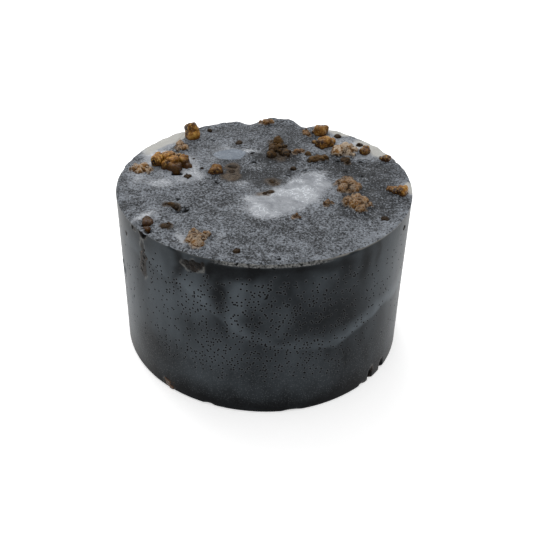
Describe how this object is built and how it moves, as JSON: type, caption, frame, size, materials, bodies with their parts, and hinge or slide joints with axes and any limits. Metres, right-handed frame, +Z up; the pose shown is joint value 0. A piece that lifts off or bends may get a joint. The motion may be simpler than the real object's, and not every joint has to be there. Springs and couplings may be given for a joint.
{
  "type": "shaving soap puck",
  "caption": "Round hard puck of two-layer shaving soap with a frothy top, white pools and resin grains set in it, to sit in a bowl or mug and be lathered with a brush.",
  "frame": {"origin": "centre of the flat bottom face that the puck rests on", "axes": "+Z up along the puck's axis, -Y towards the front, where the pour line dips to its lowest on the wall's right of centre, +X to the right seen from the front"},
  "size_m": [0.0636, 0.0634, 0.0417],
  "materials": {
    "dark_soap": "smooth, slightly waxy charcoal-grey soap cast against a mould wall",
    "veil_soap": "slightly paler translucent grey soap",
    "froth_soap": "speckled grey froth, fine bubbles",
    "white_soap": "milky, half clear, wet-looking",
    "blue_grey_soap": "smooth, half clear",
    "amber_resin": "lumpy amber resin grains, satin",
    "tan_resin": "frosted tan resin grains coated with soap",
    "brown_resin": "dull brown resin grains sunk in soap",
    "rust_resin": "porous red-brown resin"
  },
  "bodies": {
    "root": {"amber_cluster": "amber_resin", "amber_nugget": "amber_resin", "blue_grey_patch": "blue_grey_soap", "bottom_grain": "amber_resin", "brown_cluster_left": "tan_resin", "brown_cluster_right": "tan_resin", "brown_trail": "rust_resin", "cluster_right_middle": "brown_resin", "crater_grain_left": "amber_resin", "dark_cluster_back": "brown_resin", "dark_grain_right": "brown_resin", "dark_round_grain": "brown_resin", "flat_flake_left": "brown_resin", "froth_crust": "froth_soap", "grain_pool_front": "tan_resin", "grain_pool_right": "tan_resin", "lower_pour": "dark_soap", "nugget_back": "amber_resin", "nugget_right_back": "amber_resin", "orange_cluster_back": "amber_resin", "orange_grain_right": "amber_resin", "pale_grain_back": "tan_resin", "pour_line_veil": "veil_soap", "rim_grain_right": "amber_resin", "round_nugget": "amber_resin", "rust_smear": "rust_resin", "scattered_grains": "brown_resin", "soft_grain_left": "brown_resin", "sunken_grain_centre": "brown_resin", "sunken_smear": "brown_resin", "tan_cluster_back_right": "tan_resin", "tan_cluster_front": "tan_resin", "tan_cluster_left": "tan_resin", "tan_cluster_right": "tan_resin", "tan_grain_back": "tan_resin", "tan_grain_rim_back": "tan_resin", "upper_pour": "dark_soap", "wall_specks": "rust_resin", "white_chip_right": "white_soap", "white_pool_back": "white_soap", "white_pool_back_left": "white_soap", "white_pool_back_right": "white_soap", "white_pool_centre": "white_soap", "white_pool_left": "white_soap"}
  },
  "joints": []
}
